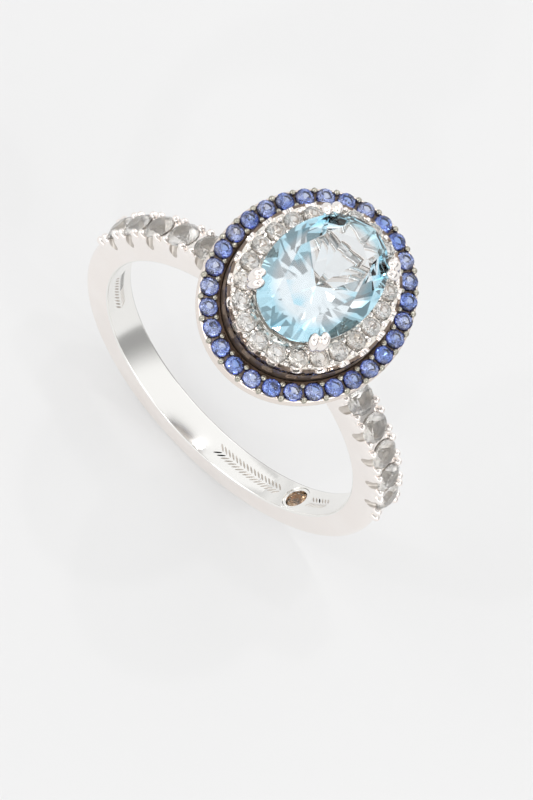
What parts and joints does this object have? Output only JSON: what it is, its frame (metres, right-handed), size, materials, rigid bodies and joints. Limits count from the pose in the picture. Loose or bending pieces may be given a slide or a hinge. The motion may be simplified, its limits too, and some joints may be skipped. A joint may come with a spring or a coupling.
{
  "type": "cocktail ring",
  "caption": "Finger ring with a raised oval centre stone in four split claws over two stepped oval halos, on a slim round band with stone-set shoulders.",
  "frame": {"origin": "centre of the finger hole", "axes": "+Y along the finger, +Z from the finger hole up through the centre stone, +X across the shoulders"},
  "size_m": [0.0212, 0.0126, 0.0269],
  "materials": {
    "polished_silver": "rhodium-bright polished sterling silver",
    "black_rhodium_plate": "silver darkened with black rhodium between the blue stones",
    "sky_blue_topaz": "facet-cut and polished, pale sky blue",
    "blue_stone": "facet-cut and polished, violet blue",
    "white_stone": "facet-cut and polished, colourless",
    "brown_stone": "facet-cut and polished, cognac brown"
  },
  "bodies": {
    "root": {"base_rail": "polished_silver", "centre_stone": "sky_blue_topaz", "claw_front_left": "polished_silver", "claw_front_right": "polished_silver", "claw_rear_left": "polished_silver", "claw_rear_right": "polished_silver", "collar_stones_front_left": "white_stone", "collar_stones_front_right": "white_stone", "collar_stones_rear_left": "white_stone", "collar_stones_rear_right": "white_stone", "gallery_rail": "polished_silver", "gallery_struts": "polished_silver", "halo_stone_01": "blue_stone", "halo_stone_02": "blue_stone", "halo_stone_03": "blue_stone", "halo_stone_04": "blue_stone", "halo_stone_05": "blue_stone", "halo_stone_06": "blue_stone", "halo_stone_07": "blue_stone", "halo_stone_08": "blue_stone", "halo_stone_09": "blue_stone", "halo_stone_10": "blue_stone", "halo_stone_11": "blue_stone", "halo_stone_12": "blue_stone", "halo_stone_13": "blue_stone", "halo_stone_14": "blue_stone", "halo_stone_15": "blue_stone", "halo_stone_16": "blue_stone", "halo_stone_17": "blue_stone", "halo_stone_18": "blue_stone", "halo_stone_19": "blue_stone", "halo_stone_20": "blue_stone", "halo_stone_21": "blue_stone", "halo_stone_22": "blue_stone", "halo_stone_23": "blue_stone", "halo_stone_24": "blue_stone", "halo_stone_25": "blue_stone", "halo_stone_26": "blue_stone", "halo_stone_27": "blue_stone", "halo_stone_28": "blue_stone", "halo_stone_29": "blue_stone", "halo_stone_30": "blue_stone", "inner_halo_collar": "polished_silver", "outer_halo_plate": "black_rhodium_plate", "shank": "polished_silver", "shoulder_stone_left_1": "white_stone", "shoulder_stone_left_2": "white_stone", "shoulder_stone_left_3": "white_stone", "shoulder_stone_left_4": "white_stone", "shoulder_stone_left_5": "white_stone", "shoulder_stone_right_1": "white_stone", "shoulder_stone_right_2": "white_stone", "shoulder_stone_right_3": "white_stone", "shoulder_stone_right_4": "white_stone", "shoulder_stone_right_5": "white_stone", "signature_bezel": "polished_silver", "signature_stone": "brown_stone"}
  },
  "joints": []
}
